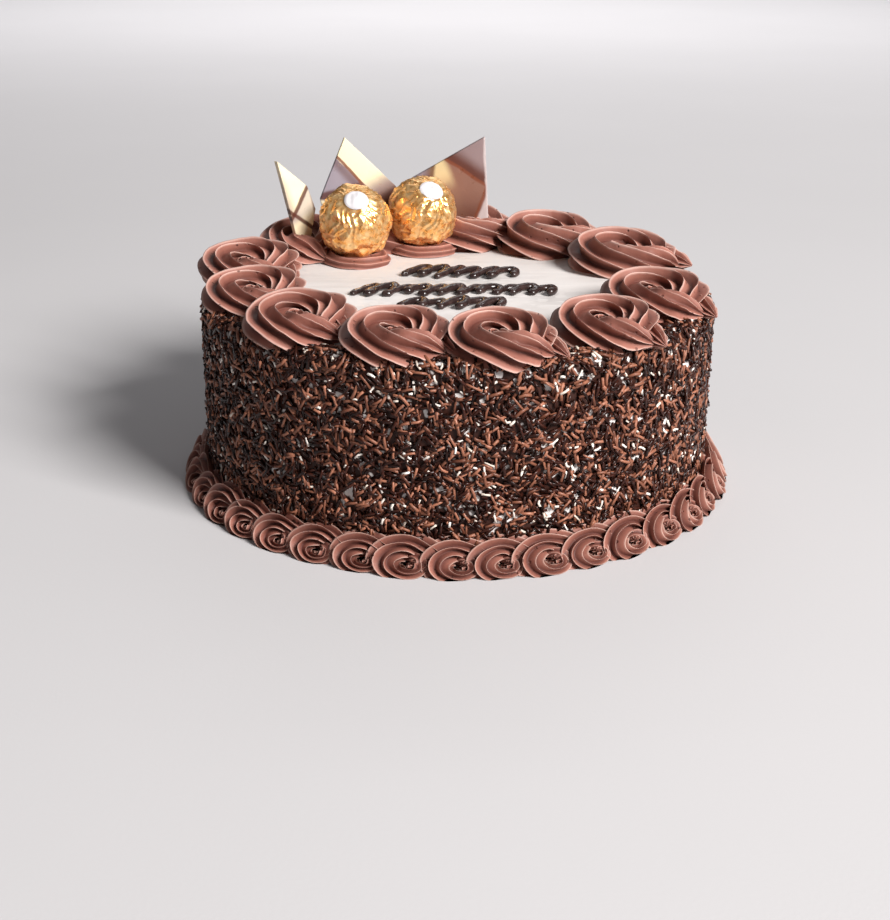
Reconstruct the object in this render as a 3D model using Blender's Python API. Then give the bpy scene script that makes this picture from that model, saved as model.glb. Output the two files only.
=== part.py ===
"""Uncut round layer cake: white iced, chocolate sprinkles round the side, a ring of piped
chocolate rosettes, a shell border at the foot, two foil-wrapped balls and three chocolate shards.

Metres, +Z up. The origin is the centre of the cake's bottom, and the front faces -Y.
Run it in Blender's text editor or with: blender --background --python part.py
"""

import math
import random

import bmesh
import bpy
from mathutils import Matrix, Vector, geometry, noise

# Driving dimensions, in metres
SIDE_RADIUS = 0.1016
CAKE_HEIGHT = 0.076
TOP_EDGE_ROUND = 0.004
SIDE_SEGMENTS = 72
CLEARANCE = 0.0003

SPRINKLE_LENGTH = 0.0056
SPRINKLE_RADIUS = 0.0008
SPRINKLE_COLUMNS = 15
SPRINKLE_ROWS = 6
SPRINKLE_BAND = (0.020, 0.067)
SPRINKLE_STRAY = 0.22
SPRINKLE_SEED = 11

ROSETTE_RING = 0.0845
ROSETTE_RADIUS = 0.0232
ROSETTE_COLUMNS = 24
ROSETTE_EYE_HEIGHT = 0.0095
ROSETTE_CREST_HEIGHT = 0.0140
ROSETTE_ARMS = 3
ROSETTE_CRESTS = 4.2
ROSETTE_FULLEST = 0.62
ROSETTE_DEPTH = 0.0032
ROSETTE_RIM = 0.0022
ROSETTE_OVERHANG_DROP = 0.0014
ROSETTE_FOOT_SHARE = 0.92
TAIL_LEAST = 0.86
TAIL_GROWTH = 0.16
TAIL_TURN = 300.0
LINE_START = 0.13
LINE_END = 0.9
LINE_STEP = 0.055

PRESSED_COLUMNS = 22
PRESSED_HEIGHT = 0.0095
PRESSED_RIM = 0.0015
PRESSED_DEPTH = 0.0012
PRESSED_ARMS = 2
PRESSED_CRESTS = 2.6
PRESSED_INWARD_SPREAD = 0.20
SEAT_SEARCH = 0.030

BALL_RADIUS = 0.0160
BALL_CRUMPLE = 0.0005
BALL_HEIGHT = 0.0937
BALL_SEAT_GAP = 3.0 * CLEARANCE
CRUMPLE_SCALE = 3.1

STICKER_HALF_LENGTH = 0.0053
STICKER_HALF_WIDTH = 0.0047
STICKER_THICKNESS = 0.0004

SHARD_THICKNESS = 0.0024
SHARD_REACH = 0.0350

SHELL_COUNT = 39
SHELL_FOOT_RADIUS = 0.1126
SHELL_OUTER_RADIUS = 0.1140
SHELL_TOP = 0.0138
SHELL_LEAST_REACH = 0.76
SHELL_LEAST_HEIGHT = 0.72

# One section of a shell: share of the reach, share of the height, and how far round it leans
SHELL_PROFILE = (
    (0.0, 0.0, 0.0),
    (1.0, 0.0, 0.0),
    (1.0, 0.40, 0.10),
    (0.62, 0.86, 0.26),
    (0.16, 1.0, 0.40),
    (0.0, 0.92, 0.44),
)
SHELL_STEPS = 5

PIPING_RADIUS = 0.0015
WAVE_STEPS = 8
WAVE_LEAN = 0.22
WAVE_ROUNDNESS = 0.7

# Each rosette: name, angle of its eye round the cake in degrees, size against the plain one,
# turn of its tail in degrees, and the height of its crests against the plain one
ROSETTES = (
    ("rosette_front_left", -132.5, 0.98, -6.0, 1.05),
    ("rosette_front", -104.5, 0.95, -6.0, 0.98),
    ("rosette_front_right", -79.0, 0.96, -2.0, 1.00),
    ("rosette_right_front", -49.5, 0.97, -12.0, 0.95),
    ("rosette_right", -19.5, 1.02, -10.0, 1.10),
    ("rosette_right_back", 28.0, 1.12, 34.0, 1.08),
    ("rosette_back_right", 59.0, 1.10, 52.0, 1.12),
    ("rosette_back", 85.0, 0.98, 70.0, 1.18),
    ("rosette_left_back", 166.0, 0.98, -20.0, 1.05),
    ("rosette_left", -163.0, 0.96, -6.0, 1.04),
)
PRESSED_ROSETTES = (
    ("rosette_pressed_right", 108.0, 0.98),
    ("rosette_pressed_left", 136.0, 0.98),
)

# Each ball: name, and where its middle stands on the cake's top
BALLS = (
    ("foil_ball_left", (-0.0440, 0.0455)),
    ("foil_ball_right", (-0.0153, 0.0658)),
)

# The lean of each ball's sticker, as turns about X, Y and Z in degrees
STICKER_LEANS = (
    ("sticker_left", (42.0, 7.0, 0.0)),
    ("sticker_right", (37.0, 20.0, 0.0)),
)

# Each shard: name, outline as (along, up) from the foot of its left edge, place of that foot,
# and the turn of its plate about the vertical in degrees
SHARDS = (
    (
        "shard_left",
        ((0.0005, -0.0010), (0.0060, 0.0040), (0.0092, 0.0175), (0.0050, 0.0280), (-0.0105, 0.0405)),
        (-0.0693, 0.0500, 0.0795),
        42.0,
    ),
    (
        "shard_middle",
        ((0.0040, 0.0000), (0.0270, 0.0000), (0.0345, 0.0225), (0.0115, 0.0450), (0.0000, 0.0180)),
        (-0.0612, 0.0720, 0.0800),
        12.4,
    ),
    (
        "shard_right",
        ((0.0225, 0.0000), (0.0310, 0.0030), (0.0345, 0.0080), (0.0325, 0.0445), (-0.0005, 0.0258)),
        (-0.0200, 0.0822, 0.0798),
        1.0,
    ),
)

# Rows of piped scrollwork: name, left end, right end, waves, half the height of a wave
PIPED_ROWS = (
    ("piped_row_back", (-0.0215, 0.0215), (0.0265, 0.0235), 5, 0.0070),
    ("piped_row_middle", (-0.0410, -0.0060), (0.0395, -0.0045), 9, 0.0060),
    ("piped_row_front", (-0.0215, -0.0265), (0.0190, -0.0260), 4, 0.0055),
)

MATERIALS = {
    "white_icing": ((0.93, 0.85, 0.80, 1.0), 0.55, 0.0),
    "chocolate_buttercream": ((0.30, 0.125, 0.095, 1.0), 0.5, 0.0),
    "gold_foil": ((0.83, 0.47, 0.17, 1.0), 0.25, 1.0),
    "sticker_paper": ((0.90, 0.90, 0.92, 1.0), 0.4, 0.0),
    "marbled_chocolate": ((0.55, 0.38, 0.30, 1.0), 0.35, 0.0),
    "dark_piping": ((0.018, 0.010, 0.009, 1.0), 0.2, 0.0),
}


def clear_scene():
    for item in list(bpy.data.objects):
        bpy.data.objects.remove(item, do_unlink=True)


def make_material(name):
    color, roughness, metallic = MATERIALS[name]
    material = bpy.data.materials.new(name)
    material.use_nodes = True
    shader = material.node_tree.nodes["Principled BSDF"]
    shader.inputs["Base Color"].default_value = color
    shader.inputs["Roughness"].default_value = roughness
    shader.inputs["Metallic"].default_value = metallic
    material.diffuse_color = color
    return material


def add_object(name, mesh, material, smooth_angle=40.0):
    mesh.shade_smooth()
    mesh.set_sharp_from_angle(angle=math.radians(smooth_angle))
    mesh.materials.append(material)
    item = bpy.data.objects.new(name, mesh)
    bpy.context.scene.collection.objects.link(item)
    return item


def mesh_from(name, points, faces):
    mesh = bpy.data.meshes.new(name)
    mesh.from_pydata(points, [], faces)
    builder = bmesh.new()
    builder.from_mesh(mesh)
    bmesh.ops.recalc_face_normals(builder, faces=builder.faces)
    builder.to_mesh(mesh)
    builder.free()
    return mesh


def on_circle(radius, degrees, height=0.0):
    angle = math.radians(degrees)
    return Vector((radius * math.cos(angle), radius * math.sin(angle), height))


def apply_modifiers(item):
    bpy.context.view_layer.update()
    graph = bpy.context.evaluated_depsgraph_get()
    item.data = bpy.data.meshes.new_from_object(item.evaluated_get(graph))
    item.modifiers.clear()


# The cake

def turned_body(profile, segments, name):
    """A closed solid turned from (radius, height) points that run from the bottom to the top."""
    points = [Vector((0.0, 0.0, profile[0][1]))]
    for radius, height in profile:
        for step in range(segments):
            points.append(on_circle(radius, 360.0 * step / segments, height))
    points.append(Vector((0.0, 0.0, profile[-1][1])))
    faces = []
    last = len(points) - 1
    for step in range(segments):
        after = (step + 1) % segments
        faces.append((0, 1 + after, 1 + step))
        for row in range(len(profile) - 1):
            low = 1 + row * segments
            high = low + segments
            faces.append((low + step, low + after, high + after, high + step))
        top = 1 + (len(profile) - 1) * segments
        faces.append((last, top + step, top + after))
    return mesh_from(name, points, faces)


def sprinkle_mesh(length, radius, sides=6):
    """A short rod with blunt pointed ends along X, about 30 triangles."""
    half = length / 2.0
    stations = ((-half, 0.0), (-half + radius * 0.5, radius), (half - radius * 0.5, radius), (half, 0.0))
    points = [Vector((stations[0][0], 0.0, 0.0))]
    for along, wide in stations[1:3]:
        for side in range(sides):
            turn = 2.0 * math.pi * side / sides
            points.append(Vector((along, wide * math.cos(turn), wide * math.sin(turn))))
    points.append(Vector((stations[3][0], 0.0, 0.0)))
    faces = []
    for side in range(sides):
        after = (side + 1) % sides
        faces.append((0, 1 + side, 1 + after))
        faces.append((1 + side, 1 + sides + side, 1 + sides + after, 1 + after))
        faces.append((2 * sides + 1, 1 + sides + after, 1 + sides + side))
    return mesh_from("sprinkle", points, faces)


def sprinkle_places():
    """Evenly spread places on the side, each nudged a little, with a random lie."""
    draw = random.Random(SPRINKLE_SEED)
    stray = SPRINKLE_STRAY
    low, high = SPRINKLE_BAND
    for row in range(SPRINKLE_ROWS):
        for column in range(SPRINKLE_COLUMNS):
            around = (column + 0.5 * (row % 2) + draw.uniform(-stray, stray)) * 360.0 / SPRINKLE_COLUMNS
            up = low + (high - low) * (row + 0.5 + draw.uniform(-stray, stray)) / SPRINKLE_ROWS
            yield around, up, draw.uniform(0.0, math.pi)


def make_cake_body(material):
    edge = [
        (
            SIDE_RADIUS - TOP_EDGE_ROUND * (1.0 - math.cos(math.radians(turn))),
            CAKE_HEIGHT - TOP_EDGE_ROUND * (1.0 - math.sin(math.radians(turn))),
        )
        for turn in (0.0, 45.0, 90.0)
    ]
    profile = [(SIDE_RADIUS, 0.0)] + edge
    body = add_object("cake_body", turned_body(profile, SIDE_SEGMENTS, "cake_body"), material)

    rod = sprinkle_mesh(SPRINKLE_LENGTH, SPRINKLE_RADIUS)
    loose = bpy.data.collections.new("sprinkles")
    for around, up, lie in sprinkle_places():
        item = bpy.data.objects.new("sprinkle", rod.copy())
        outward = Matrix.Rotation(math.radians(around), 4, "Z") @ Matrix.Rotation(math.pi / 2.0, 4, "Z")
        place = Matrix.Translation(on_circle(SIDE_RADIUS + 0.15 * SPRINKLE_RADIUS, around, up))
        item.matrix_world = place @ outward @ Matrix.Rotation(lie, 4, "Y")
        loose.objects.link(item)
    union = body.modifiers.new("sprinkles", "BOOLEAN")
    union.operation = "UNION"
    union.operand_type = "COLLECTION"
    union.collection = loose
    union.solver = "MANIFOLD"
    apply_modifiers(body)
    for item in list(loose.objects):
        bpy.data.objects.remove(item, do_unlink=True)
    bpy.data.collections.remove(loose)


# The rosettes

def rosette_outline(angle, radius, tail):
    """How far the rosette reaches in a direction from its eye: it grows along the last turn to the tail."""
    around = ((angle - math.radians(tail + TAIL_TURN)) / (2.0 * math.pi)) % 1.0
    return radius * (TAIL_LEAST + TAIL_GROWTH * around)


def sector_limit(eye_angle, before, after, angle):
    """How far a direction from the eye runs until it meets the halfway plane to either neighbour."""
    eye = on_circle(ROSETTE_RING, eye_angle)
    direction = Vector((math.cos(angle), math.sin(angle), 0.0))
    reach = 1.0
    for neighbour, side in ((before, -1.0), (after, 1.0)):
        plane = math.radians((eye_angle + neighbour) / 2.0)
        normal = Vector((-math.sin(plane), math.cos(plane), 0.0)) * side
        room = -eye.dot(normal) - CLEARANCE / 2.0
        toward = direction.dot(normal)
        if toward > 1e-6:
            reach = min(reach, room / toward)
    return reach


def rosette_dome(share, crest_height):
    """Height of the crests over the cake's top, at a share of the way out from the eye."""
    swell = math.sin(0.5 * math.pi * min(share / ROSETTE_FULLEST, 1.0))
    height = ROSETTE_EYE_HEIGHT + (crest_height - ROSETTE_EYE_HEIGHT) * swell
    if share > ROSETTE_FULLEST:
        fall = (share - ROSETTE_FULLEST) / (1.0 - ROSETTE_FULLEST)
        height *= math.cos(0.42 * math.pi * fall ** 1.7)
    return height


def neighbours_of(eye_angle):
    """The angles of the rosettes before and after this one, as turns near its own."""
    gaps = [(entry[1] - eye_angle) % 360.0 for entry in ROSETTES + PRESSED_ROSETTES]
    others = [gap for gap in gaps if gap > 1e-6]
    return eye_angle + max(others) - 360.0, eye_angle + min(others)


def rim_reaches(eye_angle, outline, columns):
    """How far the rim stands from the eye at each column, kept to the rosette's share of the ring."""
    before, after = neighbours_of(eye_angle)
    angles = [2.0 * math.pi * column / columns for column in range(columns)]
    return [min(outline(angle), sector_limit(eye_angle, before, after, angle)) for angle in angles]


def reach_between(reaches, angle):
    """How far the straight side between two columns of the rim stands from the eye in a direction."""
    step = 2.0 * math.pi / len(reaches)
    place = (angle % (2.0 * math.pi)) / step
    column = int(place) % len(reaches)
    past = (place - int(place)) * step
    first = reaches[column]
    second = reaches[(column + 1) % len(reaches)]
    return first * second * math.sin(step) / (first * math.sin(past) + second * math.sin(step - past))


def spiral_lines(eye, reaches, crests, arms, height_at):
    """Ridge and hollow lines that wind out from the eye: a list of lists of (place, height)."""
    lines = []
    for half in range(2 * arms):
        line = []
        step = 0
        while True:
            share = LINE_START + 0.5 * (half % 2) / crests + step * LINE_STEP
            if share > LINE_END:
                break
            angle = 2.0 * math.pi * (share * crests - 0.5 * half) / arms
            reach = share * reach_between(reaches, angle)
            place = eye.to_2d() + Vector((reach * math.cos(angle), reach * math.sin(angle)))
            line.append((place, height_at(share, half % 2 == 0)))
            step += 1
        lines.append(line)
    return lines


def mound(name, eye_angle, outline, columns, crests, arms, height_at):
    """A closed mound on the cake's top, with ridges that wind out from its eye, and a flat foot."""
    eye = on_circle(ROSETTE_RING, eye_angle)
    foot = CAKE_HEIGHT + CLEARANCE
    reaches = rim_reaches(eye_angle, outline, columns)
    rim = []
    for column, reach in enumerate(reaches):
        rim.append(eye.to_2d() + on_circle(reach, 360.0 * column / columns).to_2d())
    plan = list(rim)
    heights = [foot + ROSETTE_RIM] * columns
    edges = [(column, (column + 1) % columns) for column in range(columns)]
    for line in spiral_lines(eye, reaches, crests, arms, height_at):
        for index, (place, height) in enumerate(line):
            if index > 0:
                edges.append((len(plan) - 1, len(plan)))
            plan.append(place)
            heights.append(CAKE_HEIGHT + height)
    plan.append(eye.to_2d())
    heights.append(CAKE_HEIGHT + height_at(0.0, True))
    flat, _, faces, sources, _, _ = geometry.delaunay_2d_cdt(plan, edges, [], 1, 1e-7)
    points = []
    for place, source in zip(flat, sources):
        if source:
            height = heights[source[0]]
            if source[0] < columns and place.length > SIDE_RADIUS + 4.0 * CLEARANCE:
                height = foot - ROSETTE_OVERHANG_DROP
        else:
            height = foot + ROSETTE_RIM
        points.append(Vector((place.x, place.y, height)))
    order = [index for column in range(columns) for index, source in enumerate(sources) if column in source]
    faces = [tuple(face) for face in faces]
    first = len(points)
    for column in range(columns):
        inner = eye.to_2d().lerp(rim[column], ROSETTE_FOOT_SHARE)
        points.append(Vector((inner.x, inner.y, foot)))
    points.append(Vector((eye.x, eye.y, foot)))
    for column in range(columns):
        after = (column + 1) % columns
        faces.append((order[column], first + column, first + after, order[after]))
        faces.append((first + columns, first + after, first + column))
    return mesh_from(name, points, faces)


def make_rosette(name, eye_angle, size, tail, lift, material):
    radius = ROSETTE_RADIUS * size

    def outline(angle):
        return rosette_outline(angle, radius, tail)

    def height_at(share, on_ridge):
        height = rosette_dome(share, ROSETTE_CREST_HEIGHT * lift)
        return height if on_ridge else height - ROSETTE_DEPTH * min(1.0, 0.3 + 1.5 * share)

    mesh = mound(name, eye_angle, outline, ROSETTE_COLUMNS, ROSETTE_CRESTS, ROSETTE_ARMS, height_at)
    return add_object(name, mesh, material, 30.0)


def make_pressed_rosette(name, eye_angle, size, material):
    """A rosette squashed by a ball: a low uneven mound, hollowed where the balls sit."""
    radius = ROSETTE_RADIUS * size

    def outline(angle):
        inward = math.cos(angle - math.radians(eye_angle + 180.0))
        return radius * (1.0 + PRESSED_INWARD_SPREAD * max(0.0, inward) ** 2)

    def height_at(share, on_ridge):
        height = PRESSED_HEIGHT * math.cos(0.5 * math.pi * share ** 2.2) + PRESSED_RIM
        return height if on_ridge else height - PRESSED_DEPTH * min(1.0, 2.0 * share)

    mesh = mound(name, eye_angle, outline, PRESSED_COLUMNS, PRESSED_CRESTS, PRESSED_ARMS, height_at)
    return add_object(name, mesh, material, 30.0)


def ball_cutter(place):
    builder = bmesh.new()
    bmesh.ops.create_icosphere(builder, subdivisions=3, radius=BALL_RADIUS + BALL_CRUMPLE + BALL_SEAT_GAP)
    mesh = bpy.data.meshes.new("ball_cutter")
    builder.to_mesh(mesh)
    builder.free()
    mesh.transform(Matrix.Translation((place[0], place[1], BALL_HEIGHT)))
    return mesh


def grown(outline, by):
    """The outline with each corner moved outwards, so that its sides stand off by about that much."""
    middle_x = sum(point[0] for point in outline) / len(outline)
    middle_z = sum(point[1] for point in outline) / len(outline)
    result = []
    for x, z in outline:
        away = math.hypot(x - middle_x, z - middle_z)
        factor = 1.0 + 2.0 * by / away
        result.append((middle_x + (x - middle_x) * factor, middle_z + (z - middle_z) * factor))
    return result


def plate_mesh(name, outline, thickness, foot, turn):
    half = thickness / 2.0
    count = len(outline)
    points = [Vector((x, side * half, z)) for side in (-1.0, 1.0) for x, z in outline]
    faces = [tuple(range(count)), tuple(range(2 * count - 1, count - 1, -1))]
    for index in range(count):
        after = (index + 1) % count
        faces.append((index, after, count + after, count + index))
    mesh = mesh_from(name, points, faces)
    mesh.transform(Matrix.Translation(foot) @ Matrix.Rotation(math.radians(turn), 4, "Z"))
    return mesh


def keep_largest_body(item):
    """Drops loose scraps that a cut leaves."""
    builder = bmesh.new()
    builder.from_mesh(item.data)
    left = set(builder.verts)
    bodies = []
    while left:
        found = set()
        waiting = [left.pop()]
        while waiting:
            vertex = waiting.pop()
            found.add(vertex)
            for edge in vertex.link_edges:
                other = edge.other_vert(vertex)
                if other in left:
                    left.discard(other)
                    waiting.append(other)
        bodies.append(found)
    bodies.sort(key=len)
    for body in bodies[:-1]:
        bmesh.ops.delete(builder, geom=list(body), context="VERTS")
    builder.to_mesh(item.data)
    builder.free()


def cut_away(item, cutters):
    """Takes the cutters' shapes out of the item."""
    loose = bpy.data.collections.new("cutters")
    for mesh in cutters:
        loose.objects.link(bpy.data.objects.new("cutter", mesh))
    cut = item.modifiers.new("cut", "BOOLEAN")
    cut.operation = "DIFFERENCE"
    cut.operand_type = "COLLECTION"
    cut.collection = loose
    cut.solver = "EXACT"
    apply_modifiers(item)
    for cutter in list(loose.objects):
        bpy.data.objects.remove(cutter, do_unlink=True)
    bpy.data.collections.remove(loose)
    keep_largest_body(item)


def seat_toppings(rosettes):
    """Cuts the hollows for the balls and the slots for the shards in the cream round them."""
    for item, eye_angle in rosettes:
        eye = on_circle(ROSETTE_RING, eye_angle)
        cutters = []
        for _, place in BALLS:
            if math.hypot(place[0] - eye.x, place[1] - eye.y) < SEAT_SEARCH + BALL_RADIUS:
                cutters.append(ball_cutter(place))
        for name, outline, foot, turn in SHARDS:
            if math.hypot(foot[0] - eye.x, foot[1] - eye.y) < SEAT_SEARCH + SHARD_REACH:
                wide = grown(outline, CLEARANCE)
                cutters.append(plate_mesh(name, wide, SHARD_THICKNESS + 2.0 * CLEARANCE, foot, turn))
        if cutters:
            cut_away(item, cutters)


# The toppings

def make_ball(name, place, seed, material):
    builder = bmesh.new()
    bmesh.ops.create_icosphere(builder, subdivisions=3, radius=BALL_RADIUS)
    for vertex in builder.verts:
        direction = vertex.co.normalized()
        bump = noise.noise(direction * CRUMPLE_SCALE + Vector((seed, 0.0, 0.0)))
        vertex.co = direction * (BALL_RADIUS + BALL_CRUMPLE * max(-1.0, min(1.0, 1.6 * bump)))
    mesh = bpy.data.meshes.new(name)
    builder.to_mesh(mesh)
    builder.free()
    item = add_object(name, mesh, material, 20.0)
    item.location = (place[0], place[1], BALL_HEIGHT)
    return item


def make_sticker(name, place, lean, material):
    """A thin oval paper sticker that curves over the ball, just clear of the foil."""
    inner = BALL_RADIUS + BALL_CRUMPLE + CLEARANCE
    columns = 16
    points = []
    for radius in (inner, inner + STICKER_THICKNESS):
        points.append(Vector((0.0, 0.0, radius)))
        for share in (0.55, 1.0):
            for column in range(columns):
                turn = 2.0 * math.pi * column / columns
                x = share * STICKER_HALF_LENGTH * math.cos(turn)
                y = share * STICKER_HALF_WIDTH * math.sin(turn)
                points.append(Vector((x, y, math.sqrt(radius ** 2 - x ** 2 - y ** 2))))
    layer = 1 + 2 * columns
    faces = []
    for column in range(columns):
        after = (column + 1) % columns
        for base in (0, layer):
            faces.append((base, base + 1 + column, base + 1 + after))
            low = base + 1
            high = low + columns
            faces.append((low + column, high + column, high + after, low + after))
        rim = 1 + columns
        faces.append((rim + column, layer + rim + column, layer + rim + after, rim + after))
    item = add_object(name, mesh_from(name, points, faces), material)
    item.location = (place[0], place[1], BALL_HEIGHT)
    item.rotation_euler = [math.radians(turn) for turn in lean]
    return item


# The shell border

def make_shell_border(material):
    """A ring of piped shells round the foot, each puffed up at its head and narrow at its tail."""
    inner = SIDE_RADIUS + CLEARANCE
    reach = SHELL_OUTER_RADIUS - inner
    foot_reach = SHELL_FOOT_RADIUS - inner
    points = []
    steps = SHELL_COUNT * SHELL_STEPS
    for step in range(steps):
        around = 360.0 * step / steps
        section = []
        for share, height, lean in SHELL_PROFILE:
            phase = (step / SHELL_STEPS + lean) % 1.0
            puff = math.sin(math.pi * phase) ** 0.7
            low = foot_reach if height == 0.0 else reach
            out = inner + share * low * (SHELL_LEAST_REACH + (1.0 - SHELL_LEAST_REACH) * puff)
            up = SHELL_TOP * height * (SHELL_LEAST_HEIGHT + (1.0 - SHELL_LEAST_HEIGHT) * puff)
            section.append(on_circle(out, around, up))
        points += section
    rows = len(SHELL_PROFILE)
    faces = []
    for step in range(steps):
        base = step * rows
        after = ((step + 1) % steps) * rows
        for row in range(rows):
            above = (row + 1) % rows
            faces.append((base + row, after + row, after + above, base + above))
    return add_object("shell_border", mesh_from("shell_border", points, faces), material, 60.0)


# The piped scrollwork

def wave_points(left, right, waves, half_height):
    """A running wave with rounded, leaning crests that never crosses itself."""
    start = Vector((left[0], left[1], 0.0))
    along = Vector((right[0], right[1], 0.0)) - start
    pitch = along.length / waves
    forward = along.normalized()
    across = Vector((-forward.y, forward.x, 0.0))
    height = CAKE_HEIGHT + CLEARANCE + PIPING_RADIUS
    points = []
    for step in range(waves * WAVE_STEPS + 1):
        turn = 2.0 * math.pi * step / WAVE_STEPS
        rise = -half_height * math.cos(turn)
        run = pitch * (turn - WAVE_ROUNDNESS * math.sin(turn)) / (2.0 * math.pi) + WAVE_LEAN * rise
        place = start + forward * run + across * rise
        points.append((place.x, place.y, height))
    return points


def make_piped_row(name, left, right, waves, half_height, material):
    curve = bpy.data.curves.new(name, "CURVE")
    curve.dimensions = "3D"
    curve.bevel_depth = PIPING_RADIUS
    curve.bevel_resolution = 1
    curve.use_fill_caps = True
    points = wave_points(left, right, waves, half_height)
    spline = curve.splines.new("POLY")
    spline.points.add(len(points) - 1)
    for point, place in zip(spline.points, points):
        point.co = (*place, 1.0)
    curve.materials.append(material)
    item = bpy.data.objects.new(name, curve)
    bpy.context.scene.collection.objects.link(item)
    return item


def main():
    clear_scene()
    materials = {name: make_material(name) for name in MATERIALS}
    make_cake_body(materials["white_icing"])
    cream = materials["chocolate_buttercream"]
    rosettes = []
    for name, eye_angle, size, tail, lift in ROSETTES:
        rosettes.append((make_rosette(name, eye_angle, size, tail, lift, cream), eye_angle))
    for name, eye_angle, size in PRESSED_ROSETTES:
        rosettes.append((make_pressed_rosette(name, eye_angle, size, cream), eye_angle))
    seat_toppings(rosettes)
    make_shell_border(cream)
    for index, (name, place) in enumerate(BALLS):
        make_ball(name, place, 4.0 + 9.0 * index, materials["gold_foil"])
        sticker, lean = STICKER_LEANS[index]
        make_sticker(sticker, place, lean, materials["sticker_paper"])
    for name, outline, foot, turn in SHARDS:
        mesh = plate_mesh(name, outline, SHARD_THICKNESS, foot, turn)
        add_object(name, mesh, materials["marbled_chocolate"], 30.0)
    for name, left, right, waves, half_height in PIPED_ROWS:
        make_piped_row(name, left, right, waves, half_height, materials["dark_piping"])


main()
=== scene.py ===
import math
import random

import bmesh
import bpy
import numpy as np
from mathutils import Euler, Matrix, Vector, noise


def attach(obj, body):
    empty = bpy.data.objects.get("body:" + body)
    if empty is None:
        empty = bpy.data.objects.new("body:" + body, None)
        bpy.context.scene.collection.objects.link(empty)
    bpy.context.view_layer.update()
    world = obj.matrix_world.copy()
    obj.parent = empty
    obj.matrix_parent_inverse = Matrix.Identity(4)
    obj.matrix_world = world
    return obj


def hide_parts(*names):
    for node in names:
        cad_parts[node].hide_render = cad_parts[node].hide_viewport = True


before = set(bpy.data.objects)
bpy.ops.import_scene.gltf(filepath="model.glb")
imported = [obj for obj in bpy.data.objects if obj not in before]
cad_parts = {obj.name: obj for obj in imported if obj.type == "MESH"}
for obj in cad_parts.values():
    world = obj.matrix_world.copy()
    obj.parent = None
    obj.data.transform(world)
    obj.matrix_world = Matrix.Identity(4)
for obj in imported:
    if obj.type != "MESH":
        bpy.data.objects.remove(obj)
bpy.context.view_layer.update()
print("frame loaded:", len(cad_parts), "nodes")


# Camera and light

cameraSpec = {
    "place": (-0.00467, -0.57617, 0.23017),
    "tiltDown": 21.673,
    "roll": 0.287,
    "lens": 56.95,
    "sensor": 36.0,
}
lightSpec = {
    "key": {"place": (1.85, -1.80, 1.80), "size": 1.15, "power": 195.0, "color": (1.0, 0.98, 0.96)},
    "fill": {"place": (-1.1, -0.7, 0.7), "size": 1.4, "power": 0.9, "color": (0.96, 0.95, 1.0)},
    "rim": {"place": (0.1, 0.9, 1.0), "size": 0.8, "power": 1.2, "color": (1.0, 0.98, 0.97)},
    "back": {"place": (0.0, 2.5, 1.7), "size": 2.2, "power": 62.0, "color": (1.0, 0.99, 1.0),
             "aim": (0.0, 3.4, 0.0)},
}
floorSpec = {"half": 4.0, "color": (0.56, 0.55, 0.56), "world": (0.80, 0.78, 0.80), "strength": 0.13}


def makeCamera(spec):
    data = bpy.data.cameras.new("camera")
    data.lens = spec["lens"]
    data.sensor_fit = "VERTICAL"
    data.sensor_height = spec["sensor"]
    data.clip_start = 0.01
    camera = bpy.data.objects.new("camera", data)
    camera.location = spec["place"]
    tilt = Euler((math.radians(90.0 - spec["tiltDown"]), 0.0, 0.0)).to_matrix()
    camera.rotation_euler = (tilt @ Matrix.Rotation(math.radians(spec["roll"]), 3, "Z")).to_euler()
    bpy.context.scene.collection.objects.link(camera)
    bpy.context.scene.camera = camera


def addLight(name, spec):
    data = bpy.data.lights.new(name, "AREA")
    data.shape = "SQUARE"
    data.size = spec["size"]
    data.energy = spec["power"]
    data.color = spec["color"]
    light = bpy.data.objects.new(name, data)
    light.location = spec["place"]
    aim = Vector(spec.get("aim", (0.0, 0.0, 0.05))) - Vector(spec["place"])
    light.rotation_euler = aim.to_track_quat("-Z", "Y").to_euler()
    bpy.context.scene.collection.objects.link(light)


bpy.context.scene.view_settings.view_transform = "Standard"
makeCamera(cameraSpec)
for name, spec in lightSpec.items():
    addLight(name, spec)
print("camera and lights ready")


# Shader groups that several materials share

def newGroup(name, inputs, outputs):
    tree = bpy.data.node_groups.new(name, "ShaderNodeTree")
    for label, kind, value in inputs:
        socket = tree.interface.new_socket(label, in_out="INPUT", socket_type="NodeSocket" + kind)
        socket.default_value = value
    for label, kind in outputs:
        tree.interface.new_socket(label, in_out="OUTPUT", socket_type="NodeSocket" + kind)
    return tree, tree.nodes.new("NodeGroupInput").outputs, tree.nodes.new("NodeGroupOutput").inputs


def addNode(tree, kind, **settings):
    node = tree.nodes.new("ShaderNode" + kind)
    for key, value in settings.items():
        setattr(node, key, value)
    return node


def wire(tree, *pairs):
    for out, into in pairs:
        tree.links.new(out, into)


def mapped(tree, value, low, high, toLow, toHigh, smooth=False):
    # limits may be numbers or sockets
    node = addNode(tree, "MapRange", interpolation_type="SMOOTHSTEP" if smooth else "LINEAR")
    wire(tree, (value, node.inputs["Value"]))
    for label, limit in zip(("From Min", "From Max", "To Min", "To Max"), (low, high, toLow, toHigh)):
        if isinstance(limit, (int, float)):
            node.inputs[label].default_value = limit
        else:
            wire(tree, (limit, node.inputs[label]))
    return node.outputs["Result"]


def sums(tree, operation, first, second):
    node = addNode(tree, "Math", operation=operation)
    for socket, value in zip(node.inputs, (first, second)):
        if isinstance(value, (int, float)):
            socket.default_value = value
        else:
            wire(tree, (value, socket))
    return node.outputs[0]


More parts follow.
